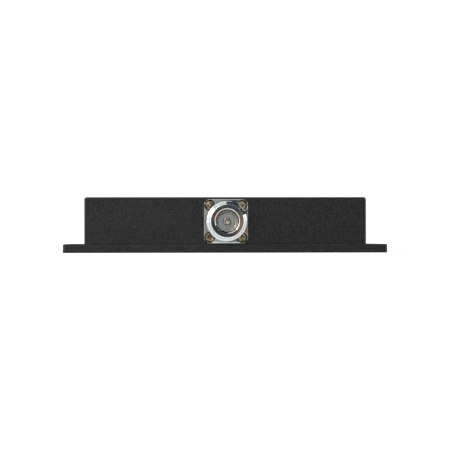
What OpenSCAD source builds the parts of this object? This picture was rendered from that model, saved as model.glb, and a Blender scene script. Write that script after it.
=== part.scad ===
// Four-way microwave power divider: a flat milled housing on a flanged base plate, with one
// input jack in its front wall and four output jacks in its back wall.
// The input jack points along minus Y, and the base plate's underside is at Z = 0.

/* [Housing] */
// Width of the housing
body_w = 113; // [106:1:130]
// Depth of the housing between its front and back faces
body_d = 88.9; // [87:0.1:120]
// Height of the housing above the base plate
body_h = 18.8; // [18.4:0.1:26]
// Thickness of the left and right walls
side_wall = 6; // [5:0.5:7]
// Thickness of the front and back walls
end_wall = 6; // [5.6:0.1:6.8]
// Radius of the upright corners
body_corner = 1.5; // [1.1:0.1:3]
// Radius along the upper edges
body_edge = 1; // [0.4:0.1:1]
// Radius along the lower edges, which makes the seam's groove
seam_edge = 0.5; // [0.2:0.1:0.8]
// Radius of the pocket's corners, left by the end mill
pocket_corner = 3; // [1.5:0.5:5]

/* [Base plate] */
// Thickness of the base plate
plate_t = 3.5; // [3:0.1:6]
// How far each ear stands out past the housing
ear_w = 8.6; // [7.5:0.1:14]
// Radius of the plate's upright corners
plate_corner = 2; // [0.8:0.1:4]
// Radius along the plate's upper and lower edges
plate_edge = 0.4; // [0.3:0.1:0.7]
// Diameter of the mounting holes in the ears
ear_hole_d = 4.2; // [3.2:0.1:5]
// From the plate's front and back edges to the mounting holes
ear_hole_inset = 8; // [5:0.5:20]

/* [Base plate screws] */
// Thread diameter of the base plate screws
plate_screw_d = 2.5; // [2:0.1:2.8]
// Diameter of their countersunk heads
plate_head_d = 4.7; // [4.4:0.1:5]
// Depth of the straight rim of the head
plate_head_rim = 0.3; // [0.2:0.1:0.6]
// Overall length of the base plate screws
plate_screw_l = 8; // [6:0.5:10]

/* [Jack body] */
// Width of the square flange
flange_w = 17.5; // [17:0.1:17.9]
// Thickness of the flange
flange_t = 3; // [2.4:0.1:4]
// Size of the flange's corner chamfers
flange_chamfer = 1.5; // [0.5:0.1:1.9]
// Gap between the base plate and the flange's lower edge
flange_gap = 0.36; // [0.2:0.02:0.5]
// Outer diameter of the coupling thread
thread_d = 15.875; // [15.6:0.005:16.2]
// Length of the barrel ahead of the flange
barrel_l = 11.2; // [10.4:0.1:14]
// Diameter of the neck between flange and thread
neck_d = 13.2; // [12:0.1:13.4]
// Length of the neck
neck_l = 2; // [1.4:0.1:2.6]
// Diameter of the plain pilot ahead of the thread
pilot_d = 14; // [13.8:0.1:14.6]
// Length of the plain pilot
pilot_l = 1.5; // [1:0.1:2.2]
// Width of the flat step between the thread's front chamfer and the pilot
thread_step = 0.15; // [0.1:0.05:0.3]
// Bevel around the pilot's front edge
pilot_bevel = 0.5; // [0.3:0.1:0.8]
// Spacing of the output jacks
jack_pitch = 27.94; // [26:0.02:28.2]

/* [Jack bore] */
// Diameter of the mouth's bore
mouth_d = 8.6; // [8.2:0.1:9]
// Depth of the shoulder behind the mouth
mouth_l = 9.1; // [8.6:0.1:9.5]
// Lead-in chamfer of the mouth
mouth_chamfer = 0.65; // [0.3:0.05:1.1]
// Diameter of the insulator's front part
insulator_d = 7; // [6:0.1:7.6]
// Diameter of the insulator where it passes through the wall
line_d = 4.1; // [3:0.1:5]
// Thickness of the shell's floor, which holds the insulator
shell_floor = 0.8; // [0.5:0.1:1.5]
// Gap around the insulator and the contact
fit_gap = 0.02; // [0.01:0.01:0.06]

/* [Centre contact] */
// Diameter of the contact's socket end
contact_d = 3.04; // [2.6:0.02:3.4]
// How far the contact stands out of the insulator
contact_reach = 4.8; // [3.5:0.1:5]
// How deep the socket end sits in the insulator
contact_seat = 1; // [0.5:0.1:2]
// Diameter of the contact's waist inside the insulator
waist_d = 2.1; // [1.6:0.1:2.5]
// Diameter of the hole that takes the mating pin
socket_d = 1.65; // [1.4:0.05:1.8]
// Depth of that hole
socket_l = 5.2; // [4:0.1:5.4]
// Length of the spring slots
slot_l = 4.2; // [2:0.1:4.4]
// Width of the spring slots
slot_w = 0.35; // [0.2:0.05:0.5]
// Bevel around the contact's tip
tip_bevel = 0.25; // [0.1:0.05:0.35]
// Diameter of the pin over the circuit board
pin_d = 1.27; // [1:0.01:1.5]
// How far the pin reaches past the wall
pin_reach = 4; // [2:0.1:5]

/* [Jack screws] */
// From the flange's edges to the middles of its screw holes
jack_hole_inset = 2.4; // [2.3:0.1:2.5]
// Thread diameter of the jack screws
jack_screw_d = 2; // [1.6:0.1:2.2]
// Diameter of their heads
jack_head_d = 3.5; // [3:0.1:3.7]
// Height of their heads
jack_head_h = 1.3; // [1:0.1:1.6]
// Radius of their rounded tops
jack_head_crown = 2.8; // [2.4:0.1:4]
// Diameter of the counterbores in the flange
seat_d = 4.2; // [3.9:0.1:4.4]
// Depth of the counterbores
seat_depth = 1.2; // [0.8:0.1:1.4]
// How deep the jack screws go into the wall
jack_screw_grip = 4.6; // [3:0.1:5]

/* [Screw recesses] */
// Width of a cross recess's slots
cross_w = 0.5; // [0.3:0.05:0.7]
// Length of a cross recess's slots
cross_l = 2; // [1.2:0.1:2.2]
// Depth of a cross recess
cross_depth = 0.7; // [0.4:0.05:0.8]

/* [Circuit board] */
// Thickness of the laminate
board_t = 1.52; // [0.7:0.01:1.6]
// Gap between the board and the pocket's walls
board_gap = 0.3; // [0.1:0.05:0.6]
// Thickness of the copper
trace_t = 0.07; // [0.03:0.01:0.14]
// Gap between the pins and the copper, filled by solder
solder_gap = 0.02; // [0.01:0.01:0.05]
// Width of the input and output lines
line_w = 3.8; // [2:0.1:4]
// Gap between the copper's ends and the board's edge
line_end_gap = 0.5; // [0.2:0.1:1]
// Length of the input line
feed_l = 6; // [5:0.1:8]
// From the last bend to the board's back edge
tail_l = 6.5; // [5:0.1:8]
// Mean radius of a splitter's half rings
ring_r = 6; // [4.5:0.1:6.1]
// Width of a splitter's first arms
first_arm_w = 1.7; // [1:0.1:2.4]
// Width of a splitter's second arms
second_arm_w = 2.4; // [1.4:0.1:2.6]
// Gap between a splitter's arms at the resistors
arm_gap = 1; // [0.6:0.1:1.2]
// From a splitter's last resistor to the line that leaves it
stub_l = 4.4; // [3.8:0.1:5]

/* [Isolation resistors] */
// Length of a resistor
chip_l = 3.2; // [2.6:0.1:3.6]
// Width of a resistor
chip_w = 1.6; // [0.8:0.1:2]
// Height of a resistor
chip_t = 0.6; // [0.4:0.05:0.8]
// Length of a resistor's metal ends
chip_end = 0.5; // [0.3:0.05:0.7]
// How much thicker the metal ends are, on each side
chip_plating = 0.04; // [0.02:0.01:0.08]

/* [Board screws] */
// Thread diameter of the board screws
board_screw_d = 2; // [1.6:0.1:2.4]
// Diameter of their heads
board_head_d = 3.8; // [3.4:0.1:4.2]
// Height of their heads
board_head_h = 1.2; // [0.9:0.1:1.6]
// How deep the board screws go into the housing
board_screw_grip = 4; // [3:0.1:5]
// From the board's edges to its outer screws
board_screw_inset = 3; // [2.6:0.1:3.2]

/* [Hidden] */
$fn = 64;

// Cutters run past the faces that they cut by this much
overrun = 1;
// Screw holes are larger than the screws by this much all round
thread_gap = 0.02;
drill_gap = 0.2;
// Screw holes are deeper than the screws by this much
drill_extra = 0.5;

// Jack positions
jack_count = 4;
jack_z = plate_t + flange_gap + flange_w / 2;
mouth_u = flange_t + barrel_l;
shoulder_u = mouth_u - mouth_l;
tip_u = shoulder_u + contact_reach;

// Circuit board, upside down against the pocket's floor
trace_z = jack_z + pin_d / 2 + solder_gap;
laminate_z = trace_z + trace_t;
pocket_z = laminate_z + board_t;
pocket_w = body_w - 2 * side_wall;
pocket_d = body_d - 2 * end_wall;
board_w = pocket_w - 2 * board_gap;
board_d = pocket_d - 2 * board_gap;
board_corner = pocket_corner - board_gap;

// Splitters: one behind the input, and one before each pair of outputs
arm_x = (arm_gap + second_arm_w) / 2;
splitter_l = 4 * ring_r;
first_y = -board_d / 2 + feed_l;
first_line_y = first_y + splitter_l + stub_l;
last_line_y = board_d / 2 - tail_l;
second_y = last_line_y - stub_l - splitter_l;
SPLITTERS = [[0, first_y], [-jack_pitch, second_y], [jack_pitch, second_y]];

// Ear holes
ear_hole_x = (body_w + ear_w) / 2;
ear_hole_y = body_d / 2 - ear_hole_inset;

// Screws through the base plate, along the middles of the walls
wall_x = (body_w - side_wall) / 2;
wall_y = (body_d - end_wall) / 2;
PLATE_SCREWS = [
    for (x = [-wall_x, -jack_pitch, jack_pitch, wall_x], y = [-wall_y, wall_y]) [x, y],
    [-wall_x, 0], [wall_x, 0]
];

// Screws through the board: corners, middles of the sides, and the middle of the board
board_screw_x = board_w / 2 - board_screw_inset;
board_screw_y = board_d / 2 - board_screw_inset;
BOARD_SCREWS = [
    for (x = [-board_screw_x, board_screw_x], y = [-board_screw_y, 0, board_screw_y]) [x, y],
    for (x = [-jack_pitch / 2, jack_pitch / 2]) [x, first_y + 2 * ring_r],
    [0, second_y + 2 * ring_r]
];

// A rectangle with round corners
module round_rect(w, d, r) {
    square([w - 2 * r, d], center = true);
    square([w, d - 2 * r], center = true);
    for (x = [-1, 1], y = [-1, 1]) translate([x * (w / 2 - r), y * (d / 2 - r)]) circle(r);
}

// The section of a block that stands on the X axis, with round upper and lower edges
module block_section(w, h, top_r, low_r) {
    side = w / 2;
    polygon([
        [-side + low_r, 0], [side - low_r, 0], [side, low_r], [side, h - top_r],
        [side - top_r, h], [-side + top_r, h], [-side, h - top_r], [-side, low_r]
    ]);
    for (x = [-1, 1]) {
        translate([x * (side - top_r), h - top_r]) circle(top_r);
        translate([x * (side - low_r), low_r]) circle(low_r);
    }
}

// A block with round edges that run around its round corners
module soft_block(w, d, h, corner_r, top_r, low_r) {
    rotate([90, 0, 0]) linear_extrude(d - 2 * corner_r, center = true)
        block_section(w, h, top_r, low_r);
    rotate([90, 0, 90]) linear_extrude(w - 2 * corner_r, center = true)
        block_section(d, h, top_r, low_r);
    for (x = [-1, 1], y = [-1, 1])
        translate([x * (w / 2 - corner_r), y * (d / 2 - corner_r), 0])
            rotate_extrude() intersection() {
                block_section(2 * corner_r, h, top_r, low_r);
                square([corner_r, h]);
            }
}

// Moves a jack's own frame, with Z outwards, to the input (0) or to an output (1 to 4)
module at_jack(i) {
    if (i == 0)
        translate([0, -body_d / 2, jack_z]) rotate([90, 0, 0]) children();
    else
        translate([(i - (jack_count + 1) / 2) * jack_pitch, body_d / 2, jack_z])
            rotate([90, 0, 180]) children();
}

module at_jack_holes() {
    reach = flange_w / 2 - jack_hole_inset;
    for (x = [-1, 1], y = [-1, 1]) translate([x * reach, y * reach, 0]) children();
}

// A cross recess cut down from the XY plane
module cross_recess() {
    for (a = [0, 90]) rotate(a)
        translate([-cross_l / 2, -cross_w / 2, -cross_depth])
            cube([cross_l, cross_w, cross_depth + overrun]);
}

// Housing: milled from a block, with the circuit's pocket cut from below
module housing() {
    color([0.07, 0.07, 0.07]) difference() {
        translate([0, 0, plate_t])
            soft_block(body_w, body_d, body_h, body_corner, body_edge, seam_edge);
        translate([0, 0, plate_t - overrun])
            linear_extrude(pocket_z - plate_t + overrun)
                round_rect(pocket_w, pocket_d, pocket_corner);
        for (i = [0 : jack_count]) at_jack(i) {
            translate([0, 0, -end_wall - overrun])
                cylinder(d = line_d + 2 * fit_gap, h = end_wall + 2 * overrun);
            at_jack_holes() translate([0, 0, -jack_screw_grip - drill_extra])
                cylinder(
                    d = jack_screw_d + 2 * thread_gap,
                    h = jack_screw_grip + drill_extra + overrun
                );
        }
        for (p = PLATE_SCREWS) translate([p.x, p.y, -overrun])
            cylinder(
                d = plate_screw_d + 2 * thread_gap,
                h = plate_screw_l + drill_extra + overrun
            );
        for (p = BOARD_SCREWS) translate([p.x, p.y, pocket_z - overrun])
            cylinder(
                d = board_screw_d + 2 * thread_gap,
                h = board_screw_grip + drill_extra + overrun
            );
    }
}

// The cone under a countersunk head, with its rim at Z = 0, grown by a gap
module countersink(gap) {
    head_r = plate_head_d / 2 + gap;
    neck_r = plate_screw_d / 2 + gap;
    cylinder(r = head_r, h = plate_head_rim);
    translate([0, 0, plate_head_rim]) cylinder(r1 = head_r, r2 = neck_r, h = head_r - neck_r);
}

// Base plate: closes the pocket, and its ears fasten the divider to a panel
module base_plate() {
    color([0.08, 0.08, 0.08]) difference() {
        soft_block(body_w + 2 * ear_w, body_d, plate_t, plate_corner, plate_edge, plate_edge);
        for (x = [-1, 1], y = [-1, 1])
            translate([x * ear_hole_x, y * ear_hole_y, -overrun])
                cylinder(d = ear_hole_d, h = plate_t + 2 * overrun);
        for (p = PLATE_SCREWS) translate([p.x, p.y, 0]) {
            translate([0, 0, -overrun])
                cylinder(d = plate_screw_d + 2 * drill_gap, h = plate_t + 2 * overrun);
            countersink(thread_gap);
            translate([0, 0, -overrun])
                cylinder(d = plate_head_d + 2 * thread_gap, h = overrun + plate_head_rim / 2);
        }
    }
}

// Countersunk screws, driven from below, flush with the base plate
module base_plate_screws() {
    color([0.75, 0.73, 0.68]) for (p = PLATE_SCREWS) translate([p.x, p.y, 0]) difference() {
        union() {
            countersink(0);
            cylinder(d = plate_screw_d, h = plate_screw_l);
        }
        mirror([0, 0, 1]) cross_recess();
    }
}

// Laminate board, screwed to the pocket's floor with its copper facing down
module circuit_board() {
    color([0.86, 0.82, 0.7]) difference() {
        translate([0, 0, laminate_z]) linear_extrude(board_t)
            round_rect(board_w, board_d, board_corner);
        for (p = BOARD_SCREWS) translate([p.x, p.y, laminate_z - overrun])
            cylinder(d = board_screw_d + 2 * drill_gap, h = board_t + 2 * overrun);
    }
}

// A straight copper line with round ends
module line(from, to, w) {
    run = to - from;
    translate(from) rotate(atan2(run.y, run.x)) translate([0, -w / 2]) square([norm(run), w]);
    for (p = [from, to]) translate(p) circle(d = w);
}

// Half of a copper ring, on the side of the Y axis that side gives
module half_ring(side, w) {
    outer_r = ring_r + w / 2;
    intersection() {
        difference() {
            circle(outer_r);
            circle(outer_r - w);
        }
        translate([side > 0 ? 0 : -outer_r, -outer_r]) square([outer_r, 2 * outer_r]);
    }
}

// One equal splitter with two quarter-wave arms on each side, from its input at the origin
module splitter() {
    line([-arm_x, 0], [arm_x, 0], first_arm_w);
    for (side = [-1, 1]) translate([side * arm_x, 0]) {
        translate([0, ring_r]) half_ring(side, first_arm_w);
        translate([0, 3 * ring_r]) half_ring(side, second_arm_w);
        translate([0, 2 * ring_r]) circle(d = second_arm_w);
        line([0, splitter_l], [0, splitter_l + stub_l], second_arm_w);
    }
}

// The two lines that leave a splitter, out to a reach on each side and on to an end
module splitter_lines(x, y, reach, end_y) {
    start = (arm_gap + line_w) / 2;
    for (side = [-1, 1]) {
        line([x + side * start, y], [x + side * reach, y], line_w);
        line([x + side * reach, y], [x + side * reach, end_y], line_w);
    }
}

// Copper network: input line, three splitters, and the lines between and after them
module divider_traces() {
    end_y = board_d / 2 - line_end_gap - line_w / 2;
    color([0.8, 0.5, 0.3]) translate([0, 0, trace_z]) linear_extrude(trace_t) {
        line([0, -end_y], [0, first_y], line_w);
        for (s = SPLITTERS) translate(s) splitter();
        splitter_lines(0, first_line_y, jack_pitch, second_y);
        for (side = [-1, 1])
            splitter_lines(side * jack_pitch, last_line_y, jack_pitch / 2, end_y);
    }
}

// Chip resistors that bridge a splitter's arms: odd ones after its first arms, even ones after
// its second arms
module isolation_resistor(i) {
    s = SPLITTERS[floor((i - 1) / 2)];
    rings = i % 2 == 1 ? 1 : 2;
    body_t = chip_t - 2 * chip_plating;
    color([0.12, 0.12, 0.13])
        translate([s.x, s.y + rings * 2 * ring_r, trace_z - chip_t / 2]) {
            cube([chip_l - chip_end, chip_w - 2 * chip_plating, body_t], center = true);
            for (side = [-1, 1]) translate([side * (chip_l - chip_end) / 2, 0, 0])
                cube([chip_end, chip_w, chip_t], center = true);
        }
}

// Pan head screws that hold the board up against the pocket's floor
module board_screws() {
    color([0.75, 0.73, 0.68]) for (p = BOARD_SCREWS) translate([p.x, p.y, laminate_z])
        difference() {
            union() {
                cylinder(d = board_screw_d, h = board_t + board_screw_grip);
                mirror([0, 0, 1]) cylinder(d = board_head_d, h = board_head_h);
            }
            translate([0, 0, -board_head_h]) mirror([0, 0, 1]) cross_recess();
        }
}

// Jack shell: turned barrel on a square flange, with four counterbored screw holes
module jack_shell() {
    neck_r = neck_d / 2;
    thread_r = thread_d / 2;
    pilot_r = pilot_d / 2;
    step_r = pilot_r + thread_step;
    line_r = line_d / 2 + fit_gap;
    insulator_r = insulator_d / 2 + fit_gap;
    mouth_r = mouth_d / 2;
    thread_u = flange_t + neck_l;
    pilot_u = mouth_u - pilot_l;
    cut = flange_w / 2 - flange_chamfer;
    side = flange_w / 2;
    color([0.78, 0.76, 0.72]) difference() {
        union() {
            linear_extrude(flange_t) polygon([
                [-cut, -side], [cut, -side], [side, -cut], [side, cut],
                [cut, side], [-cut, side], [-side, cut], [-side, -cut]
            ]);
            rotate_extrude() polygon([
                [0, 0], [neck_r, 0], [neck_r, thread_u],
                [thread_r, thread_u + thread_r - neck_r],
                [thread_r, pilot_u - thread_r + step_r], [step_r, pilot_u],
                [pilot_r, pilot_u], [pilot_r, mouth_u - pilot_bevel],
                [pilot_r - pilot_bevel, mouth_u], [0, mouth_u]
            ]);
        }
        rotate_extrude() polygon([
            [0, -overrun], [line_r, -overrun], [line_r, shell_floor],
            [insulator_r, shell_floor], [insulator_r, shoulder_u], [mouth_r, shoulder_u],
            [mouth_r, mouth_u - mouth_chamfer],
            [mouth_r + mouth_chamfer + overrun, mouth_u + overrun], [0, mouth_u + overrun]
        ]);
        at_jack_holes() {
            translate([0, 0, -overrun])
                cylinder(d = jack_screw_d + 2 * drill_gap, h = flange_t + overrun);
            translate([0, 0, flange_t - seat_depth]) cylinder(d = seat_d, h = seat_depth + neck_l);
        }
    }
}

// Jack insulator: held between the shell's floor and the contact, and on through the wall
module jack_insulator() {
    pin_r = pin_d / 2 + fit_gap;
    waist_r = waist_d / 2 + fit_gap;
    contact_r = contact_d / 2 + fit_gap;
    line_r = line_d / 2;
    outer_r = insulator_d / 2;
    color([0.8, 0.82, 0.8]) rotate_extrude() polygon([
        [pin_r, -end_wall], [line_r, -end_wall], [line_r, shell_floor],
        [outer_r, shell_floor], [outer_r, shoulder_u], [contact_r, shoulder_u],
        [contact_r, shoulder_u - contact_seat], [waist_r, shoulder_u - contact_seat],
        [waist_r, shell_floor], [pin_r, shell_floor]
    ]);
}

// Jack contact: slotted socket in front, waist in the insulator, and pin over the board
module jack_contact() {
    contact_r = contact_d / 2;
    socket_r = socket_d / 2;
    seat_u = shoulder_u - contact_seat;
    color([0.85, 0.68, 0.35]) difference() {
        rotate_extrude() polygon([
            [0, -end_wall - pin_reach], [pin_d / 2, -end_wall - pin_reach],
            [pin_d / 2, shell_floor], [waist_d / 2, shell_floor], [waist_d / 2, seat_u],
            [contact_r, seat_u], [contact_r, tip_u - tip_bevel],
            [contact_r - tip_bevel, tip_u], [0, tip_u]
        ]);
        translate([0, 0, tip_u - socket_l]) cylinder(r = socket_r, h = socket_l + overrun);
        for (a = [0, 90]) rotate(a)
            translate([-contact_r - overrun, -slot_w / 2, tip_u - slot_l])
                cube([2 * (contact_r + overrun), slot_w, slot_l + overrun]);
    }
}

// Jack screws: their round-topped heads sit in the flange's counterbores
module jack_screws() {
    head_u = flange_t - seat_depth;
    top_u = head_u + jack_head_h;
    color([0.72, 0.58, 0.36]) at_jack_holes() difference() {
        union() {
            translate([0, 0, -jack_screw_grip])
                cylinder(d = jack_screw_d, h = jack_screw_grip + head_u);
            intersection() {
                translate([0, 0, head_u]) cylinder(d = jack_head_d, h = jack_head_h);
                translate([0, 0, top_u - jack_head_crown]) sphere(jack_head_crown);
            }
        }
        translate([0, 0, top_u]) cross_recess();
    }
}

housing();
base_plate();
base_plate_screws();
circuit_board();
divider_traces();
board_screws();
isolation_resistor(1);  // isolation_resistor_1
isolation_resistor(2);  // isolation_resistor_2
isolation_resistor(3);  // isolation_resistor_3
isolation_resistor(4);  // isolation_resistor_4
isolation_resistor(5);  // isolation_resistor_5
isolation_resistor(6);  // isolation_resistor_6
at_jack(0) jack_shell();  // input_shell
at_jack(0) jack_insulator();  // input_insulator
at_jack(0) jack_contact();  // input_contact
at_jack(0) jack_screws();  // input_screws
at_jack(1) jack_shell();  // output_1_shell
at_jack(1) jack_insulator();  // output_1_insulator
at_jack(1) jack_contact();  // output_1_contact
at_jack(1) jack_screws();  // output_1_screws
at_jack(2) jack_shell();  // output_2_shell
at_jack(2) jack_insulator();  // output_2_insulator
at_jack(2) jack_contact();  // output_2_contact
at_jack(2) jack_screws();  // output_2_screws
at_jack(3) jack_shell();  // output_3_shell
at_jack(3) jack_insulator();  // output_3_insulator
at_jack(3) jack_contact();  // output_3_contact
at_jack(3) jack_screws();  // output_3_screws
at_jack(4) jack_shell();  // output_4_shell
at_jack(4) jack_insulator();  // output_4_insulator
at_jack(4) jack_contact();  // output_4_contact
at_jack(4) jack_screws();  // output_4_screws
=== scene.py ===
"""A four-way microwave power divider: black painted housing and base plate, with plated threaded jacks."""
import math

import bmesh
import bpy
from mathutils import Matrix, Vector


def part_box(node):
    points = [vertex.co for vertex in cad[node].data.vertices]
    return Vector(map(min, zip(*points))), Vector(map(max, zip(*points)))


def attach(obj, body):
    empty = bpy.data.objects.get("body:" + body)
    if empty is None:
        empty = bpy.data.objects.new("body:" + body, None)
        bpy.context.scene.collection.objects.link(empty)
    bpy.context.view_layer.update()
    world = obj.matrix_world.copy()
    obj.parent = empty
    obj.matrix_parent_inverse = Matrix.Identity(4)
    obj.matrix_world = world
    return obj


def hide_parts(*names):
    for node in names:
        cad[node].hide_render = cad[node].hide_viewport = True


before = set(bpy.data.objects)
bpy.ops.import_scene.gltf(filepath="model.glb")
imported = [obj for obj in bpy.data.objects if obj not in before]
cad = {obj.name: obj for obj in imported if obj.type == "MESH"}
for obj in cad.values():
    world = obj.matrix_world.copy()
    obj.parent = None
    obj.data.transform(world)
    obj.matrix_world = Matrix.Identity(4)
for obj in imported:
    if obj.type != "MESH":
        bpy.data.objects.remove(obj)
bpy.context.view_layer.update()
mm = 0.001

# Housing: a block milled from aluminium, with every outer edge broken by hand before it was
# sprayed with a fine-textured satin black paint. The circuit's pocket is cut from below.


def add(tree, kind, inputs=None, **settings):
    """One node of a tree, with its settings, and with its inputs set to values or linked to outputs."""
    made = tree.nodes.new(kind)
    for name, value in settings.items():
        setattr(made, name, value)
    for name, value in (inputs or {}).items():
        if isinstance(value, bpy.types.NodeSocket):
            tree.links.new(value, made.inputs[name])
        else:
            made.inputs[name].default_value = value
    return made


def new_finish(name, **values):
    """A material with its principled shader, whose plain values are set here."""
    finish = bpy.data.materials.new(name)
    finish.use_nodes = True
    shader = finish.node_tree.nodes["Principled BSDF"]
    for socket, value in values.items():
        shader.inputs[socket.replace("_", " ")].default_value = value
    return finish, finish.node_tree, shader


def tones(tree, factor, stops):
    """A colour that follows a factor, from stops of a position and a colour each, in rising order."""
    made = add(tree, "ShaderNodeValToRGB", {"Fac": factor})
    elements = made.color_ramp.elements
    for i, (position, colour) in enumerate(stops):
        if i > 1:
            elements.new(position)
        elements[i].position = position
        elements[i].color = (*colour, 1)
    return made.outputs["Color"]


def blend(tree, share, first, second):
    """The mix of two colours, by the share of the second."""
    return add(tree, "ShaderNodeMix", {0: share, 6: first, 7: second}, data_type="RGBA").outputs[2]


seam_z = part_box("base_plate")[1].z
# How far from the seam the paint is painted paler, as painted light in the seam's shade.
seam_light_half = 0.25 * mm
seam_light_end = 0.4 * mm
grain_scale = 7000.0
grain_height = 0.05 * mm
# Faces turned this far from square are painted paler, as a painted highlight on the rounded edges.
flat_facing = 0.95
edge_facing = 0.75


def black_paint(name, palest):
    """Satin black paint with grains that differ in tone and shine, a painted highlight on the rounded edges
    and painted light in the seam.
    """
    finish, tree, shader = new_finish(name)
    coordinates = add(tree, "ShaderNodeTexCoord").outputs
    place = coordinates["Object"]
    cells = add(tree, "ShaderNodeTexVoronoi", {"Vector": place, "Scale": grain_scale})
    grain = add(tree, "ShaderNodeSeparateColor", {"Color": cells.outputs["Color"]}).outputs["Red"]
    tint = tones(tree, grain, ((0, (0.001, 0.001, 0.0011)), (1, (palest, palest, palest))))
    shine = add(tree, "ShaderNodeMapRange", {"Value": grain, "To Min": 0.04, "To Max": 0.36})
    cloud = add(tree, "ShaderNodeTexNoise", {"Vector": place, "Scale": 60.0, "Detail": 2.0})
    dull = add(tree, "ShaderNodeMapRange", {
        "Value": cloud.outputs["Fac"], "From Min": 0.3, "From Max": 0.7, "To Min": 0.37, "To Max": 0.43})
    bump = add(tree, "ShaderNodeBump", {
        "Height": cells.outputs["Distance"], "Strength": 0.35, "Distance": grain_height})
    # The seam between housing and plate is painted paler: painted light that lifts its shade.
    height = add(tree, "ShaderNodeSeparateXYZ", {0: place}).outputs["Z"]
    from_seam = add(tree, "ShaderNodeMath", {0: height, 1: seam_z}, operation="SUBTRACT")
    away = add(tree, "ShaderNodeMath", {0: from_seam.outputs[0]}, operation="ABSOLUTE")
    seam_light_share = add(tree, "ShaderNodeMapRange", {
        "Value": away.outputs[0], "From Min": seam_light_half, "From Max": seam_light_end, "To Min": 1.0, "To Max": 0.0})
    seam_lit = blend(tree, seam_light_share.outputs[0], tint, (0.042, 0.042, 0.041, 1))
    # The rounded edges are painted paler: a painted highlight where they turn to the light.
    facing = add(tree, "ShaderNodeVectorMath", {0: coordinates["Normal"]}, operation="ABSOLUTE")
    parts = add(tree, "ShaderNodeSeparateXYZ", {0: facing.outputs[0]}).outputs
    across = add(tree, "ShaderNodeMath", {0: parts["X"], 1: parts["Y"]}, operation="MAXIMUM")
    square = add(tree, "ShaderNodeMath", {0: across.outputs[0], 1: parts["Z"]}, operation="MAXIMUM")
    edge_highlight_share = add(tree, "ShaderNodeMapRange", {
        "Value": square.outputs[0], "From Min": flat_facing, "From Max": edge_facing})
    edge_highlighted = blend(tree, edge_highlight_share.outputs[0], seam_lit, (0.045, 0.045, 0.044, 1))
    tree.links.new(edge_highlighted, shader.inputs["Base Color"])
    tree.links.new(shine.outputs["Result"], shader.inputs["Specular IOR Level"])
    tree.links.new(dull.outputs["Result"], shader.inputs["Roughness"])
    tree.links.new(bump.outputs["Normal"], shader.inputs["Normal"])
    return finish


def mesh_object(name, mesh):
    """A finished mesh as an object of the scene."""
    made = bpy.data.objects.new(name, mesh)
    bpy.context.scene.collection.objects.link(made)
    return made


def even_shading(piece):
    """Shades rounded edges smooth and leaves the flats between them flat."""
    sharp_angle = math.radians(32)
    piece.data.set_sharp_from_angle(angle=sharp_angle)
    weighted = piece.modifiers.new("face_weights", "WEIGHTED_NORMAL")
    weighted.mode = "FACE_AREA"
    weighted.weight = 100
    weighted.keep_sharp = True


def smoothed_copy(name, node, finish):
    """A CAD node's solid as one joined mesh, with its rounded edges shaded smooth."""
    mesh = cad[node].data.copy()
    mesh.name = name
    joined = bmesh.new()
    joined.from_mesh(mesh)
    bmesh.ops.remove_doubles(joined, verts=joined.verts, dist=0.001 * mm)
    bmesh.ops.dissolve_limit(
        joined, angle_limit=math.radians(0.05), verts=joined.verts, edges=joined.edges)
    for face in joined.faces:
        face.smooth = True
    joined.to_mesh(mesh)
    joined.free()
    mesh.materials.clear()
    mesh.materials.append(finish)
    piece = mesh_object(name, mesh)
    even_shading(piece)
    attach(piece, "root")
    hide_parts(node)
    return piece


painted_housing = smoothed_copy("painted_housing", "housing", black_paint("housing_paint", palest=0.022))

# Base plate: a flat plate of the same width all the way, its paint painted a little paler than the
# housing's as painted light on its front. It closes the pocket, and its two ears have holes for the
# screws that hold it to a panel.

# The plate's paint is painted paler than the housing's, as painted light on its front.
painted_plate = smoothed_copy("painted_base_plate", "base_plate", black_paint("lit_plate_paint", palest=0.031))

# Base plate screws: small countersunk steel screws with bright zinc plate, driven from below
# until their heads are flush.


def plated_steel():
    """Bright zinc plate on steel, with a faint haze."""
    finish, tree, shader = new_finish("plated_steel", Metallic=1.0, Base_Color=(0.62, 0.61, 0.58, 1))
    place = add(tree, "ShaderNodeTexCoord").outputs["Object"]
    haze = add(tree, "ShaderNodeTexNoise", {"Vector": place, "Scale": 1500.0, "Detail": 2.0})
    dull = add(tree, "ShaderNodeMapRange", {"Value": haze.outputs["Fac"], "To Min": 0.2, "To Max": 0.36})
    tree.links.new(dull.outputs["Result"], shader.inputs["Roughness"])
    return finish


def refinish(names, finish):
    """Gives CAD nodes, whose shape stays, a finish of their own."""
    for name in names:
        for place in cad[name].material_slots:
            place.material = finish


refinish(["base_plate_screws", "board_screws"], plated_steel())

# Circuit inside the pocket: a glass-filled laminate board, its etched copper network, and the
# chip resistors that are soldered across each splitter's arms.


def laminate():
    """Pale microwave laminate with a faint glass weave."""
    finish, tree, shader = new_finish("laminate", Roughness=0.6)
    place = add(tree, "ShaderNodeTexCoord").outputs["Object"]
    across, along = [
        add(tree, "ShaderNodeTexWave", {"Vector": place, "Scale": 400.0}, bands_direction=axis).outputs["Fac"]
        for axis in "XY"]
    weave = add(tree, "ShaderNodeMath", {0: across, 1: along}, operation="MULTIPLY")
    tint = tones(tree, weave.outputs["Value"], ((0, (0.6, 0.55, 0.42)), (1, (0.68, 0.64, 0.52))))
    tree.links.new(tint, shader.inputs["Base Color"])
    return finish


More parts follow.
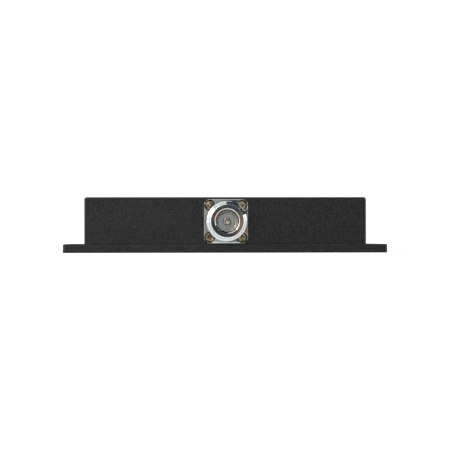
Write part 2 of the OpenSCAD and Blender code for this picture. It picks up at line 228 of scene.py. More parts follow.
def mottled_metal(name, scale, detail, stops, least_dull, most_dull):
    """A metal finish whose colour and dullness change together in patches."""
    finish, tree, shader = new_finish(name, Metallic=1.0)
    place = add(tree, "ShaderNodeTexCoord").outputs["Object"]
    patches = add(tree, "ShaderNodeTexNoise", {"Vector": place, "Scale": scale, "Detail": detail})
    tint = tones(tree, patches.outputs["Fac"], stops)
    dull = add(tree, "ShaderNodeMapRange", {
        "Value": patches.outputs["Fac"], "To Min": least_dull, "To Max": most_dull})
    tree.links.new(tint, shader.inputs["Base Color"])
    tree.links.new(dull.outputs["Result"], shader.inputs["Roughness"])
    return finish


def copper():
    """Etched copper with a light tarnish."""
    return mottled_metal(
        "copper", scale=120.0, detail=4.0, stops=((0, (0.55, 0.27, 0.15)), (1, (0.85, 0.5, 0.34))),
        least_dull=0.22, most_dull=0.45)


def resistor_glaze():
    """Dark glaze over a ceramic chip."""
    finish, tree, shader = new_finish("resistor_glaze", Coat_Weight=0.4)
    place = add(tree, "ShaderNodeTexCoord").outputs["Object"]
    speck = add(tree, "ShaderNodeTexNoise", {"Vector": place, "Scale": 4000.0})
    tint = tones(tree, speck.outputs["Fac"], ((0, (0.01, 0.01, 0.012)), (1, (0.05, 0.05, 0.055))))
    tree.links.new(tint, shader.inputs["Base Color"])
    return finish


refinish(["circuit_board"], laminate())
refinish(["divider_traces"], copper())
refinish([name for name in cad if name.startswith("isolation_resistor")], resistor_glaze())

# Jack shells: each is a brass bar turned to a threaded barrel on a milled square flange, with
# polished white bronze plate. One goes on the front wall and four on the back wall.

shell_low, shell_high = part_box("input_shell")
wall_low, wall_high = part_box("housing")
flange_side = shell_high.x - shell_low.x
mouth_u = wall_low.y - shell_low.y
axis_z = (shell_low.z + shell_high.z) / 2
flange_t = 3 * mm
flange_corner = 1.5 * mm
flange_edge = 0.22 * mm
hole_spacing = 12.7 * mm
hole_r = 1.2 * mm
seat_r = 2.1 * mm
seat_floor_u = flange_t - 1.2 * mm
seat_lip = 0.3 * mm
neck_r = 6.6 * mm
thread_u = 5 * mm
thread_r = 7.9375 * mm
thread_pitch = 25.4 * mm / 24
thread_depth = 0.613 * thread_pitch
thread_land = 0.15 * mm
thread_start = 0.8 * mm
run_out = 0.6 * mm
pilot_r = 7 * mm
pilot_u = mouth_u - 1.5 * mm
pilot_bevel = 0.5 * mm
mouth_r = 4.3 * mm
mouth_chamfer = 0.65 * mm
shoulder_u = mouth_u - 9.1 * mm
insulator_r = 3.5 * mm
line_r = 2.05 * mm
shell_floor = 0.8 * mm
# The depth at which the plate is painted darkest, as painted shade.
darkest_depth = 20.0


def rounded(path, steps=4):
    """The points of a profile, each given as (radius, height, fillet), with its fillets as arcs.

    A point just before and after each arc keeps the stretches between them flat when shaded.
    """
    made = []
    for i, (r, u, fillet) in enumerate(path):
        corner = Vector((r, u))
        if fillet == 0 or i in (0, len(path) - 1):
            made.append(corner)
            continue
        back = (Vector(path[i - 1][:2]) - corner).normalized()
        ahead = (Vector(path[i + 1][:2]) - corner).normalized()
        half = back.angle(ahead) / 2
        middle = corner + (back + ahead).normalized() * fillet / math.sin(half)
        start = corner + back * fillet / math.tan(half) - middle
        end = corner + ahead * fillet / math.tan(half) - middle
        arc = [middle + start.lerp(end, k / steps).normalized() * fillet for k in range(steps + 1)]
        made += [arc[0] + back * fillet / 4, *arc, arc[-1] + ahead * fillet / 4]
    return made


def skin(mesh, rings, closed):
    """Joins rings of equal counts of points, and maps how far round and along the skin each point is."""
    turning = mesh.loops.layers.uv.get("turning") or mesh.loops.layers.uv.new("turning")
    count = len(rings[0])
    verts = [[mesh.verts.new(p) for p in ring] for ring in rings]
    along = [0.0]
    for a, b in zip(rings, rings[1:] + rings[:1]):
        along.append(along[-1] + (b[0] - a[0]).length)
    for j in range(len(rings) if closed else len(rings) - 1):
        near, far = verts[j], verts[(j + 1) % len(rings)]
        for i in range(count):
            k = (i + 1) % count
            face = mesh.faces.new((near[i], near[k], far[k], far[i]))
            face.smooth = True
            corners = ((i, j), (i + 1, j), (i + 1, j + 1), (i, j + 1))
            for loop, (a, b) in zip(face.loops, corners):
                loop[turning].uv = (a / count, along[b] / mm)
    return verts


def ring(r, u, count):
    """A circle of points about the Z axis."""
    return [Vector((r * math.cos(a), r * math.sin(a), u))
            for a in (2 * math.pi * i / count for i in range(count))]


def turned(mesh, path, count, closed=False):
    """A turned solid: a profile about the Z axis, with flat discs at its ends unless it is closed."""
    verts = skin(mesh, [ring(p.x, p.y, count) for p in path], closed)
    if not closed:
        mesh.faces.new(verts[0][::-1])
        mesh.faces.new(verts[-1])
    return [vert for row in verts for vert in row]


def thread_height(turn):
    """How far a 60 degree thread stands above its root, from 0 to 1, at a share of its pitch."""
    root, crest = 0.125, 0.125
    flank = (1 - root - crest) / 2
    turn %= 1
    if turn < root:
        return 0
    if turn < root + flank:
        return (turn - root) / flank
    return 1 if turn < root + flank + crest else (1 - turn) / flank


def threaded_rings(count, steps=8):
    """Rings of points that climb with the thread, and are flat at both ends.

    Its crests are chamfered at both ends, and its grooves run out into the front chamfer.
    """
    rings = []
    for j in range(math.ceil((pilot_u - thread_u) / thread_pitch + 1) * steps + 1):
        points = []
        for i in range(count):
            a = 2 * math.pi * i / count
            u = thread_u + (j / steps + i / count - 1) * thread_pitch
            u = min(max(u, thread_u), pilot_u)
            turn = (u - thread_u) / thread_pitch - i / count
            deep = min(max((pilot_u - u - thread_start) / run_out, 0), 1)
            r = thread_r - deep * thread_depth * (1 - thread_height(turn))
            r = min(r, neck_r + u - thread_u, pilot_r + thread_land + pilot_u - u)
            points.append(Vector((r * math.cos(a), r * math.sin(a), u)))
        rings.append(points)
    return rings


def barrel(mesh, count=128):
    """The turned barrel, as one closed skin from its neck over the thread and back down its bore."""
    front = rounded([
        (pilot_r + thread_land, pilot_u, 0),
        (pilot_r, pilot_u, 0.03 * mm),
        (pilot_r, mouth_u - pilot_bevel, 0.08 * mm),
        (pilot_r - pilot_bevel, mouth_u, 0.08 * mm),
        (mouth_r + mouth_chamfer, mouth_u, 0.06 * mm),
        (mouth_r + 0.55 * mouth_chamfer, mouth_u - 0.4 * mouth_chamfer, 0.06 * mm),
        (mouth_r, mouth_u - 1.3 * mouth_chamfer, 0.1 * mm),
        (mouth_r, shoulder_u, 0.05 * mm),
        (insulator_r, shoulder_u, 0.04 * mm),
        (insulator_r, shell_floor, 0),
    ])[1:]
    base = [Vector((line_r, shell_floor)), Vector((line_r, 0)), Vector((neck_r, 0))]
    *inner, neck = [ring(p.x, p.y, count) for p in front + base]
    skin(mesh, [neck, *threaded_rings(count), *inner], closed=True)
    bmesh.ops.remove_doubles(mesh, verts=mesh.verts, dist=0.0001 * mm)
    bmesh.ops.recalc_face_normals(mesh, faces=mesh.faces)
    # How deep each point lies in the bore; the plate's finish paints deeper points darker, as painted shade.
    depth = mesh.verts.layers.float.new("bore_depth")
    for vert in mesh.verts:
        if vert.co.xy.length < mouth_r * 1.001:
            vert[depth] = (mouth_u - vert.co.z) / mm


def outline(half, cut):
    """A square outline with its corners cut off."""
    near = half - cut
    return [Vector(p) for p in (
        (-near, -half), (near, -half), (half, -near), (half, near),
        (near, half), (-near, half), (-half, near), (-half, -near))]


def flange_blank():
    """The flange before it is drilled, with its front edges and corners rounded over."""
    mesh = bmesh.new()
    points = outline(flange_side / 2, flange_corner)
    low = [mesh.verts.new((p.x, p.y, 0)) for p in points]
    high = [mesh.verts.new((p.x, p.y, flange_t)) for p in points]
    mesh.faces.new(low[::-1])
    mesh.faces.new(high)
    for i in range(len(points)):
        k = (i + 1) % len(points)
        mesh.faces.new((low[i], low[k], high[k], high[i]))
    upright = [e for e in mesh.edges if abs(e.verts[0].co.z - e.verts[1].co.z) > flange_t / 2]
    bmesh.ops.bevel(mesh, geom=upright, offset=2 * flange_edge, segments=4, affect="EDGES", profile=0.5)
    top_edges = [e for e in mesh.edges if min(v.co.z for v in e.verts) > flange_t * 0.99]
    bmesh.ops.bevel(mesh, geom=top_edges, offset=flange_edge, segments=3, affect="EDGES", profile=0.5)
    return mesh


def made_object(name, mesh, finish=None):
    """A bmesh as an object of the scene."""
    data = bpy.data.meshes.new(name)
    mesh.to_mesh(data)
    mesh.free()
    if finish:
        data.materials.append(finish)
    return mesh_object(name, data)


def evaluated_mesh(source, name):
    """The mesh that an object's modifiers give. The object itself is removed."""
    ready = source.evaluated_get(bpy.context.evaluated_depsgraph_get())
    mesh = bpy.data.meshes.new_from_object(ready)
    mesh.name = name
    bpy.data.objects.remove(source)
    return mesh


def cut_mesh(name, blank, cutter):
    """The mesh of a blank with a cutter's solid taken away, from a bmesh of each."""
    source = made_object(name + "_blank", blank)
    tool = made_object(name + "_cutter", cutter)
    cut = source.modifiers.new("cut", "BOOLEAN")
    cut.object = tool
    cut.operation = "DIFFERENCE"
    cut.solver = "EXACT"
    cut.use_self = True
    mesh = evaluated_mesh(source, name)
    bpy.data.objects.remove(tool)
    return mesh


def drilled_flange():
    """The flange with its bore and its four counterbored screw holes."""
    drills = bmesh.new()
    past = 0.5 * mm
    for x in (-hole_spacing / 2, hole_spacing / 2):
        for y in (-hole_spacing / 2, hole_spacing / 2):
            drill = turned(drills, [Vector(p) for p in (
                (hole_r, -past), (hole_r, seat_floor_u), (seat_r, seat_floor_u),
                (seat_r, flange_t - seat_lip), (seat_r + seat_lip + past, flange_t + past))], count=40)
            bmesh.ops.translate(drills, verts=drill, vec=(x, y, 0))
    turned(drills, [Vector((neck_r, -past)), Vector((neck_r, flange_t + past))], count=96)
    mesh = cut_mesh("drilled_flange", flange_blank(), drills)
    # The counterbore seats get the darkest depth, so the plate is painted nearly black there, as painted
    # shade.
    depth = mesh.attributes.new("bore_depth", "FLOAT", "POINT")
    for i, vert in enumerate(mesh.vertices):
        across = Vector((abs(vert.co.x) - hole_spacing / 2, abs(vert.co.y) - hole_spacing / 2))
        if across.length < seat_r + 0.02 * mm and 0 < vert.co.z < flange_t - 1.1 * seat_lip:
            depth.data[i].value = darkest_depth
    return mesh


def white_bronze():
    """Polished white bronze plate with the lathe's faint rings; down the bore it is thin and duller, and
    painted a dark brassy tone as painted shade.
    """
    finish, tree, shader = new_finish("white_bronze", Metallic=1.0)
    round_and_along = add(tree, "ShaderNodeUVMap", uv_map="turning").outputs["UV"]
    stretched = add(tree, "ShaderNodeMapping", {"Vector": round_and_along, "Scale": (3.0, 14.0, 1.0)})
    rings = add(tree, "ShaderNodeTexNoise", {
        "Vector": stretched.outputs["Vector"], "Scale": 1.0, "Detail": 3.0})
    place = add(tree, "ShaderNodeTexCoord").outputs["Object"]
    haze = add(tree, "ShaderNodeTexNoise", {"Vector": place, "Scale": 260.0, "Detail": 3.0})
    tint = tones(tree, haze.outputs["Fac"], ((0.3, (0.65, 0.68, 0.675)), (0.7, (0.71, 0.75, 0.75))))
    depth = add(tree, "ShaderNodeAttribute", attribute_name="bore_depth").outputs["Fac"]
    down_bore = add(tree, "ShaderNodeMapRange", {"Value": depth, "From Min": 0.8, "From Max": 4.0})
    shade = add(tree, "ShaderNodeMath", {0: depth, 1: darkest_depth}, operation="DIVIDE")
    # Down the bore the plate is painted a dark brass tone that turns nearly black deeper in: painted shade.
    deep = tones(tree, shade.outputs[0], ((0.5, (0.175, 0.165, 0.125)), (0.8, (0.02, 0.018, 0.014))))
    plated = blend(tree, down_bore.outputs[0], tint, deep)
    polish = add(tree, "ShaderNodeMapRange", {"Value": haze.outputs["Fac"], "To Min": 0.015, "To Max": 0.035})
    dull = add(tree, "ShaderNodeMapRange", {
        "Value": down_bore.outputs[0], "To Min": polish.outputs[0], "To Max": 0.22})
    ripple = add(tree, "ShaderNodeBump", {
        "Height": haze.outputs["Fac"], "Strength": 1.0, "Distance": 0.001 * mm})
    bump = add(tree, "ShaderNodeBump", {
        "Height": rings.outputs["Fac"], "Strength": 1.0, "Distance": 0.0001 * mm,
        "Normal": ripple.outputs["Normal"]})
    tree.links.new(plated, shader.inputs["Base Color"])
    tree.links.new(dull.outputs["Result"], shader.inputs["Roughness"])
    tree.links.new(bump.outputs["Normal"], shader.inputs["Normal"])
    return finish


def layout_tree(name, inputs):
    """A geometry nodes tree with named inputs of given kinds, and what its input node gives."""
    tree = bpy.data.node_groups.new(name, "GeometryNodeTree")
    for title, kind in (("Geometry", "Geometry"), *inputs, ("Finish", "Material")):
        tree.interface.new_socket(title, in_out="INPUT", socket_type="NodeSocket" + kind)
    tree.interface.new_socket("Geometry", in_out="OUTPUT", socket_type="NodeSocketGeometry")
    return tree, add(tree, "NodeGroupInput").outputs


def give_real(tree, geometry, finish):
    """Ends a tree: its copies are made real, given their finish and put out."""
    real = add(tree, "GeometryNodeRealizeInstances", {"Geometry": geometry})
    coloured = add(tree, "GeometryNodeSetMaterial", {
        "Geometry": real.outputs["Geometry"], "Material": finish})
    add(tree, "NodeGroupOutput", {"Geometry": coloured.outputs["Geometry"]})


def jack_layout():
    """Geometry nodes that put one jack's piece on the front wall and copies along the back wall."""
    tree, given = layout_tree("jack_layout", (
        ("Axis height", "Float"), ("Front wall", "Float"), ("Back wall", "Float"), ("Back pitch", "Float"),
        ("Back count", "Int")))
    on_front = add(tree, "ShaderNodeCombineXYZ", {"Y": given["Front wall"], "Z": given["Axis height"]})
    front = add(tree, "GeometryNodeTransform", {
        "Geometry": given["Geometry"], "Translation": on_front.outputs[0], "Rotation": (math.pi / 2, 0, 0)})
    gaps = add(tree, "ShaderNodeMath", {0: given["Back count"], 1: 1.0}, operation="SUBTRACT")
    span = add(tree, "ShaderNodeMath", {0: gaps.outputs[0], 1: given["Back pitch"]}, operation="MULTIPLY")
    first_x = add(tree, "ShaderNodeMath", {0: span.outputs[0], 1: -0.5}, operation="MULTIPLY")
    first = add(tree, "ShaderNodeCombineXYZ", {
        "X": first_x.outputs[0], "Y": given["Back wall"], "Z": given["Axis height"]})
    step = add(tree, "ShaderNodeCombineXYZ", {"X": given["Back pitch"]})
    row = add(tree, "GeometryNodeMeshLine", {
        "Count": given["Back count"], "Start Location": first.outputs[0], "Offset": step.outputs[0]})
    back = add(tree, "GeometryNodeInstanceOnPoints", {
        "Points": row.outputs["Mesh"], "Instance": given["Geometry"], "Rotation": (math.pi / 2, 0, math.pi)})
    both = add(tree, "GeometryNodeJoinGeometry")
    tree.links.new(front.outputs["Geometry"], both.inputs["Geometry"])
    tree.links.new(back.outputs["Instances"], both.inputs["Geometry"])
    give_real(tree, both.outputs["Geometry"], given["Finish"])
    return tree


def set_inputs(modifier, values):
    """Sets a geometry nodes modifier's inputs by the names that its tree gives them."""
    for item in modifier.node_group.interface.items_tree:
        if item.in_out == "INPUT" and item.name in values:
            modifier[item.identifier] = values[item.name]


def jack_places(finish):
    """Where the five jacks are, as the layout's inputs."""
    first_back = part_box("output_1_shell")
    second_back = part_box("output_2_shell")
    return {
        "Axis height": axis_z, "Front wall": wall_low.y, "Back wall": wall_high.y,
        "Back pitch": second_back[0].x - first_back[0].x, "Back count": 4, "Finish": finish,
    }


def laid_out(name, source, tree, values, part):
    """A prototype copied to its places by a tree, as one plain piece in place of the jacks' nodes."""
    layout = source.modifiers.new("layout", "NODES")
    layout.node_group = tree
    set_inputs(layout, values)
    piece = mesh_object(name, evaluated_mesh(source, name))
    even_shading(piece)
    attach(piece, "root")
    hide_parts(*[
        node for node in cad if node.endswith(part) and node.split("_")[0] in ("input", "output")])
    return piece


shell_mesh = bmesh.new()
barrel(shell_mesh)
flange = drilled_flange()
shell_mesh.from_mesh(flange)
bpy.data.meshes.remove(flange)
five_jacks = jack_layout()
jack_shells = laid_out(
    "jack_shells", made_object("jack_shell", shell_mesh), five_jacks, jack_places(white_bronze()), "_shell")

# Jack insulators: white fluoropolymer, turned to seat on each shell's floor, with a thinner
# stretch that carries the line through the housing's wall.

wall_t = 6 * mm
fit_gap = 0.02 * mm
pin_r = 0.635 * mm
waist_r = 1.05 * mm
contact_r = 1.52 * mm
contact_seat_u = shoulder_u - 1 * mm


def insulator():
    """One insulator, with its outer edges eased."""
    mesh = bmesh.new()
    turned(mesh, rounded([
        (pin_r + fit_gap, -wall_t, 0),
        (line_r - fit_gap, -wall_t, 0.1 * mm),
        (line_r - fit_gap, shell_floor, 0),
        (insulator_r - fit_gap, shell_floor, 0),
        (insulator_r - fit_gap, shoulder_u, 0.18 * mm),
        (contact_r + fit_gap, shoulder_u, 0.08 * mm),
        (contact_r + fit_gap, contact_seat_u, 0),
        (waist_r + fit_gap, contact_seat_u, 0),
        (waist_r + fit_gap, shell_floor, 0),
        (pin_r + fit_gap, shell_floor, 0),
    ]), count=64, closed=True)
    bmesh.ops.recalc_face_normals(mesh, faces=mesh.faces)
    return mesh


def fluoropolymer():
    """Waxy white fluoropolymer, greyer in its turning marks."""
    finish, tree, shader = new_finish("fluoropolymer", Roughness=0.42, IOR=1.36, Subsurface_Weight=0.12)
    shader.inputs["Subsurface Scale"].default_value = 0.4 * mm
    shader.inputs["Subsurface Radius"].default_value = (1, 1, 1)
    round_and_along = add(tree, "ShaderNodeUVMap", uv_map="turning").outputs["UV"]
    stretched = add(tree, "ShaderNodeMapping", {"Vector": round_and_along, "Scale": (2.0, 5.0, 1.0)})
    marks = add(tree, "ShaderNodeTexNoise", {
        "Vector": stretched.outputs["Vector"], "Scale": 1.0, "Detail": 2.0})
    tint = tones(tree, marks.outputs["Fac"], ((0.3, (0.82, 0.89, 0.91)), (0.7, (0.88, 0.95, 0.96))))
    tree.links.new(tint, shader.inputs["Base Color"])
    return finish


jack_insulators = laid_out(
    "jack_insulators", made_object("jack_insulator", insulator()), five_jacks,
    jack_places(fluoropolymer()), "_insulator")

# Jack contacts: turned from beryllium copper and gold plated. Each has a socket with four
# spring fingers in front, and a pin behind that reaches over the circuit board.

tip_u = shoulder_u + 4.8 * mm
socket_r = 0.825 * mm
socket_l = 5.2 * mm
slot_w = 0.35 * mm
slot_l = 4.2 * mm
pin_reach = 4 * mm


def contact():
    """One contact before its slots are sawn."""
    mesh = bmesh.new()
    pin_bevel = 0.2 * mm
    turned(mesh, [Vector((pin_r - pin_bevel, -wall_t - pin_reach))] + rounded([
        (pin_r, -wall_t - pin_reach + pin_bevel, 0),
        (pin_r, shell_floor, 0),
        (waist_r, shell_floor, 0),
        (waist_r, contact_seat_u, 0),
        (contact_r, contact_seat_u, 0),
        (contact_r, tip_u, 0.25 * mm),
        (socket_r + 0.15 * mm, tip_u, 0.05 * mm),
        (socket_r, tip_u - 0.25 * mm, 0.05 * mm),
        (socket_r, tip_u - socket_l, 0),
    ]), count=48)
    bmesh.ops.recalc_face_normals(mesh, faces=mesh.faces)
    return mesh


def block(mesh, low, high):
    """A rectangular block between two corners."""
    made = bmesh.ops.create_cube(mesh, size=1)["verts"]
    bmesh.ops.scale(mesh, verts=made, vec=high - low)
    bmesh.ops.translate(mesh, verts=made, vec=(low + high) / 2)
    return made


def slotted_contact():
    """One contact with two saw cuts across its socket, which leave four fingers."""
    saw = bmesh.new()
    for across in (Vector((1, 0, 0)), Vector((0, 1, 0))):
        reach = across * 2 * contact_r + Vector((across.y, across.x, 0)) * slot_w / 2
        block(saw, Vector((0, 0, tip_u - slot_l)) - reach, Vector((0, 0, tip_u + 1 * mm)) + reach)
    return cut_mesh("jack_contact", contact(), saw)


def gold():
    """Thin gold plate over nickel, paler in patches."""
    return mottled_metal(
        "gold_plate", scale=900.0, detail=3.0,
        stops=((0.35, (0.16, 0.145, 0.125)), (0.65, (0.3, 0.28, 0.25))), least_dull=0.14, most_dull=0.3)


jack_contacts = laid_out(
    "jack_contacts", mesh_object("jack_contact", slotted_contact()), five_jacks,
    jack_places(gold()), "_contact")

# Jack screws: four pan head steel screws hold each jack to its wall. Their yellow passivated
# zinc plate is why they look golden in the flange's counterbores.

screw_r = 1 * mm
screw_grip = 4.6 * mm
head_r = 1.75 * mm
head_h = 1.3 * mm
head_crown = 2.8 * mm
cross_top_l = 2 * mm
cross_low_l = 0.9 * mm
cross_top_w = 0.5 * mm
cross_low_w = 0.34 * mm
cross_depth = 0.7 * mm


def pan_head_screw():
    """One screw with a crowned head, before its recess is punched."""
    mesh = bmesh.new()
    crown_u = seat_floor_u + head_h - head_crown
    crown = [(r * mm, crown_u + math.sqrt(head_crown ** 2 - (r * mm) ** 2), 0)
             for r in (1.5, 1.2, 0.9, 0.6, 0.3)]
    turned(mesh, rounded([
        (screw_r - 0.3 * mm, -screw_grip, 0),
        (screw_r, -screw_grip + 0.3 * mm, 0),
        (screw_r, seat_floor_u, 0),
        (head_r, seat_floor_u, 0.08 * mm),
        (head_r, crown_u + math.sqrt(head_crown ** 2 - head_r ** 2), 0.12 * mm),
        *crown,
    ]), count=40)
    bmesh.ops.recalc_face_normals(mesh, faces=mesh.faces)
    return mesh


def punched_screw():
    """One screw with a cross recess that narrows towards its bottom."""
    punch = bmesh.new()
    top_u = seat_floor_u + head_h
    rise = 0.3 * mm
    for turn in (0, math.pi / 2):
        arm = block(punch, Vector((-0.5, -0.5, top_u - cross_depth)), Vector((0.5, 0.5, top_u + rise)))
        for vert in arm:
            low = vert.co.z < top_u
            spread = 1 if low else 1 + rise / cross_depth
            length = cross_low_l + (0 if low else (cross_top_l - cross_low_l) * spread)
            width = cross_low_w + (0 if low else (cross_top_w - cross_low_w) * spread)
            vert.co.x *= length
            vert.co.y *= width
        bmesh.ops.rotate(punch, verts=arm, matrix=Matrix.Rotation(turn, 3, "Z"))
    return cut_mesh("jack_screw", pan_head_screw(), punch)


def square_pattern():
    """Geometry nodes that put a piece at the corners of a square, each turned by chance."""
    tree, given = layout_tree("square_pattern", (
        ("Spacing", "Float"), ("Most turn", "Float"), ("Seed", "Int")))
    corners = add(tree, "GeometryNodeMeshGrid", {
        "Size X": given["Spacing"], "Size Y": given["Spacing"], "Vertices X": 2, "Vertices Y": 2})
    most = add(tree, "ShaderNodeCombineXYZ", {"Z": given["Most turn"]})
    turn = add(tree, "FunctionNodeRandomValue", {
        "Min": (0, 0, 0), "Max": most.outputs[0], "Seed": given["Seed"]}, data_type="FLOAT_VECTOR")
    copies = add(tree, "GeometryNodeInstanceOnPoints", {
        "Points": corners.outputs["Mesh"], "Instance": given["Geometry"], "Rotation": turn.outputs["Value"]})
    give_real(tree, copies.outputs["Instances"], given["Finish"])
    return tree


def yellow_zinc():
    """Yellow passivated zinc plate, browner in patches."""
    return mottled_metal(
        "yellow_zinc", scale=1000.0, detail=3.0,
        stops=((0.35, (0.06, 0.046, 0.024)), (0.65, (0.4, 0.32, 0.2))), least_dull=0.12, most_dull=0.26)


passivated = yellow_zinc()
one_screw = mesh_object("jack_screw", punched_screw())
pattern = one_screw.modifiers.new("pattern", "NODES")
pattern.node_group = square_pattern()
set_inputs(pattern, {"Spacing": hole_spacing, "Most turn": math.pi / 2, "Seed": 4, "Finish": passivated})
four_screws = mesh_object("jack_screw_set", evaluated_mesh(one_screw, "jack_screw_set"))
jack_screws = laid_out("jack_screws", four_screws, five_jacks, jack_places(passivated), "_screws")

# Floor and world: a white floor that keeps the object's shadow, under a white sky. Both are
# pure white to the camera, and light the object at a plain level.

floor_glow = 0.7
glow_near = 0.1
glow_far = 0.4
floor_half = 3.0
floor_drop = 0.02 * mm


def white_floor():
    """White paper, clear from below, that glows for the camera, and more so away from the object."""
    finish = bpy.data.materials.new("white_floor")
    finish.use_nodes = True
    tree = finish.node_tree
    tree.nodes.clear()
    path = add(tree, "ShaderNodeLightPath").outputs
    seen = add(tree, "ShaderNodeMath", {0: path["Is Camera Ray"], 1: path["Is Glossy Ray"]}, operation="ADD")
    place = add(tree, "ShaderNodeTexCoord").outputs["Object"]
    away = add(tree, "ShaderNodeVectorMath", {0: place}, operation="LENGTH")
    glow_there = add(tree, "ShaderNodeMapRange", {
        "Value": away.outputs["Value"], "From Min": glow_near, "From Max": glow_far,
        "To Min": floor_glow, "To Max": 1.0})
    lift = add(tree, "ShaderNodeMath", {0: seen.outputs[0], 1: glow_there.outputs[0]}, operation="MULTIPLY")
    paper = add(tree, "ShaderNodeBsdfDiffuse", {"Color": (0.8, 0.8, 0.8, 1)})
    glow = add(tree, "ShaderNodeEmission", {"Strength": lift.outputs[0]})
    lit = add(tree, "ShaderNodeAddShader", {0: paper.outputs[0], 1: glow.outputs[0]})
    under = add(tree, "ShaderNodeNewGeometry").outputs["Backfacing"]
    clear = add(tree, "ShaderNodeBsdfTransparent")
    either = add(tree, "ShaderNodeMixShader", {0: under, 1: lit.outputs[0], 2: clear.outputs[0]})
    add(tree, "ShaderNodeOutputMaterial", {"Surface": either.outputs[0]})
    return finish


floor_mesh = bmesh.new()
bmesh.ops.create_grid(floor_mesh, x_segments=1, y_segments=1, size=floor_half)
bmesh.ops.translate(floor_mesh, verts=floor_mesh.verts, vec=(0, 0, -floor_drop))
floor = made_object("floor", floor_mesh, white_floor())

sky_level = 0.3
sky_seen = 1.1
sky_mirrored_low = 0.15
horizon_low = 0.1
horizon_high = 0.45
bpy.context.scene.view_settings.view_transform = "Standard"
world = bpy.data.worlds.new("studio")
bpy.context.scene.world = world
world.use_nodes = True
sky = world.node_tree
path = add(sky, "ShaderNodeLightPath").outputs
seen = add(sky, "ShaderNodeMath", {0: path["Is Camera Ray"], 1: path["Is Transmission Ray"]}, operation="ADD")
direction = add(sky, "ShaderNodeSeparateXYZ", {0: add(sky, "ShaderNodeTexCoord").outputs["Generated"]})
mirrored = add(sky, "ShaderNodeMapRange", {
    "Value": direction.outputs["Z"], "From Min": horizon_low, "From Max": horizon_high,
    "To Min": sky_mirrored_low, "To Max": 1.0}, interpolation_type="SMOOTHSTEP")
unseen = add(sky, "ShaderNodeMapRange", {
    "Value": path["Is Glossy Ray"], "To Min": sky_level, "To Max": mirrored.outputs[0]})
level = add(sky, "ShaderNodeMapRange", {
    "Value": seen.outputs[0], "To Min": unseen.outputs[0], "To Max": sky_seen})
sky.nodes["Background"].inputs["Color"].default_value = (0.95, 1, 1, 1)
sky.links.new(level.outputs[0], sky.nodes["Background"].inputs["Strength"])

# Lights and cards: soft boxes at the left, the right and the upper front, and a small bright one
# in front as the key. What the polished jack mirrors is a dark blue flag over it and the dim
# room behind the camera.


def soft_box(name, place, side, level, aim):
    """A square area light whose face shines at a given level."""
    data = bpy.data.lights.new(name, "AREA")
    data.shape = "SQUARE"
    data.size = side
    data.energy = level * math.pi * side * side
    light = bpy.data.objects.new(name, data)
    light.location = place
    light.rotation_euler = (aim - place).to_track_quat("-Z", "Y").to_euler()
    light.visible_camera = False
    bpy.context.scene.collection.objects.link(light)


jack_middle = Vector((0, shell_low.y, axis_z))
soft_box("left_soft_box", Vector((-0.6, -0.14, 0.22)), side=0.65, level=1.3, aim=jack_middle)
soft_box("right_soft_box", Vector((2.5, -0.3, 0.2)), side=2.2, level=1.2, aim=jack_middle)
soft_box("front_soft_box", Vector((-0.7, -1.7, 1.5)), side=0.9, level=1.0, aim=jack_middle)
soft_box("key_soft_box", Vector((-0.11, -1.05, 0.15)), side=0.15, level=22.0, aim=jack_middle)


def mirrored_only(name, middle, across, up, finish):
    """A flat card that only reflections show, given by its middle and its two half sides."""
    mesh = bmesh.new()
    corners = [mesh.verts.new(middle + a * across + b * up) for a, b in ((-1, -1), (1, -1), (1, 1), (-1, 1))]
    mesh.faces.new(corners)
    made = made_object(name, mesh, finish)
    made.visible_camera = False
    made.visible_diffuse = False
    made.visible_transmission = False
    made.visible_shadow = False


def glowing(name, colour, level):
    """A card that glows evenly."""
    finish = bpy.data.materials.new(name)
    finish.use_nodes = True
    tree = finish.node_tree
    tree.nodes.clear()
    glow = add(tree, "ShaderNodeEmission", {"Color": (*colour, 1), "Strength": level})
    add(tree, "ShaderNodeOutputMaterial", {"Surface": glow.outputs[0]})
    return finish


over_jack = jack_middle - Vector((0, 8 * mm, 0))
over_half_depth = Vector((0, 22 * mm, 0))
flag_distance = 0.15
flag_half = flag_distance * math.tan(math.radians(35))
gap_distance = 0.12
gap_half = 0.006


def card_over_jack(name, turn, distance, half, finish):
    """A card square to a line that leaves the jack's front at a turn from the right."""
    out = Vector((math.cos(turn), 0, math.sin(turn)))
    across = Vector((-math.sin(turn), 0, math.cos(turn)))
    mirrored_only(name, over_jack + out * distance, across * half, over_half_depth, finish)


card_over_jack(
    "blue_flag", math.radians(55), flag_distance, flag_half,
    glowing("flag_blue", (0.35, 0.5, 1.0), level=0.06))
card_over_jack(
    "flag_gap", math.radians(44), gap_distance, gap_half,
    glowing("gap_light", (0.55, 0.8, 1.0), level=0.3))

card_y = wall_low.y - 1.5
patch_middle = Vector((84 * mm, card_y, 26.5 * mm))
patch_half = Vector((36 * mm, 1, 30 * mm))
card_across = Vector((0.2, 0, 0))
card_up = Vector((0, 0, 0.12))
drift_reach = 0.019
room_height = 100 * mm


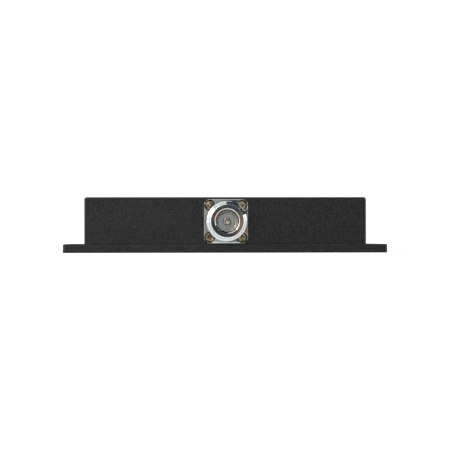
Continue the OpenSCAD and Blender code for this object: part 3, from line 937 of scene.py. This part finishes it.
def dim_room():
    """The room behind the camera: pale round a dim patch, blue below, with brown and pale spots."""
    finish = bpy.data.materials.new("dim_room")
    finish.use_nodes = True
    tree = finish.node_tree
    tree.nodes.clear()
    place = add(tree, "ShaderNodeTexCoord").outputs["Object"]
    cloud = add(tree, "ShaderNodeTexNoise", {"Vector": place, "Scale": 70.0, "Detail": 2.0})
    drift = add(tree, "ShaderNodeVectorMath", {
        0: cloud.outputs["Color"], 1: (0.5, 0.5, 0.5)}, operation="SUBTRACT")
    spread = add(tree, "ShaderNodeVectorMath", {0: drift.outputs[0], "Scale": drift_reach}, operation="SCALE")
    moved = add(tree, "ShaderNodeVectorMath", {0: place, 1: spread.outputs[0]}, operation="ADD")
    height = add(tree, "ShaderNodeSeparateXYZ", {0: moved.outputs[0]}).outputs["Z"]
    rise = add(tree, "ShaderNodeMapRange", {"Value": height, "From Min": 0, "From Max": room_height})
    colour = tones(tree, rise.outputs[0], (
        (0.01, (0.36, 0.36, 0.33)), (0.05, (0.038, 0.042, 0.052)), (0.2, (0.034, 0.038, 0.05)),
        (0.42, (0.075, 0.077, 0.073))))
    spots = (
        ((86, 21), 16.4, (0.31, 0.18, 0.13)), ((53, 30.5), 5, (0.28, 0.1, 0.08)),
        ((57, 49), 9.7, (0.45, 0.44, 0.4)))
    for (x, z), reach, spot_colour in spots:
        far = add(tree, "ShaderNodeVectorMath", {
            0: moved.outputs[0], 1: (x * mm, card_y, z * mm)}, operation="DISTANCE")
        near = add(tree, "ShaderNodeMapRange", {
            "Value": far.outputs["Value"], "From Min": 0.3 * reach * mm, "From Max": reach * mm,
            "To Min": 1.0, "To Max": 0.0}, interpolation_type="SMOOTHSTEP")
        colour = blend(tree, near.outputs[0], colour, (*spot_colour, 1))
    in_patch = add(tree, "ShaderNodeMapping", {
        "Vector": moved.outputs[0], "Location": patch_middle, "Scale": patch_half}, vector_type="TEXTURE")
    flat = add(tree, "ShaderNodeVectorMath", {
        0: in_patch.outputs[0], 1: (1, 0, 1)}, operation="MULTIPLY")
    square = add(tree, "ShaderNodeVectorMath", {
        0: flat.outputs[0], 1: flat.outputs[0]}, operation="MULTIPLY")
    far = add(tree, "ShaderNodeVectorMath", {0: square.outputs[0]}, operation="LENGTH")
    edge = add(tree, "ShaderNodeMapRange", {
        "Value": far.outputs["Value"], "From Min": 0.85, "From Max": 1.15}, interpolation_type="SMOOTHSTEP")
    room = blend(tree, edge.outputs[0], colour, (0.5, 0.49, 0.45, 1))
    glow = add(tree, "ShaderNodeEmission", {"Color": room})
    add(tree, "ShaderNodeOutputMaterial", {"Surface": glow.outputs[0]})
    return finish


mirrored_only("dim_card", patch_middle, card_across, card_up, dim_room())

# Camera: low down, 41 mm left of the input jack and 900 mm in front of its wall, and turned to
# the middle of the divider's front.

view_place = Vector((-41 * mm, wall_low.y - 900 * mm, 5.6 * mm))
view_aim = Vector((-0.28 * mm, wall_low.y, 11.12 * mm))
view_roll = math.radians(-0.08)
pixel = 0.4 * mm
frame_width = 450 * pixel
camera_data = bpy.data.cameras.new("camera")
camera_data.sensor_width = 36
camera_data.lens = camera_data.sensor_width * (view_aim - view_place).length / frame_width
camera = bpy.data.objects.new("camera", camera_data)
bpy.context.scene.collection.objects.link(camera)
bpy.context.scene.camera = camera
camera.location = view_place
camera.rotation_euler = (view_aim - view_place).to_track_quat("-Z", "Y").to_euler()
camera.rotation_euler.rotate_axis("Z", view_roll)
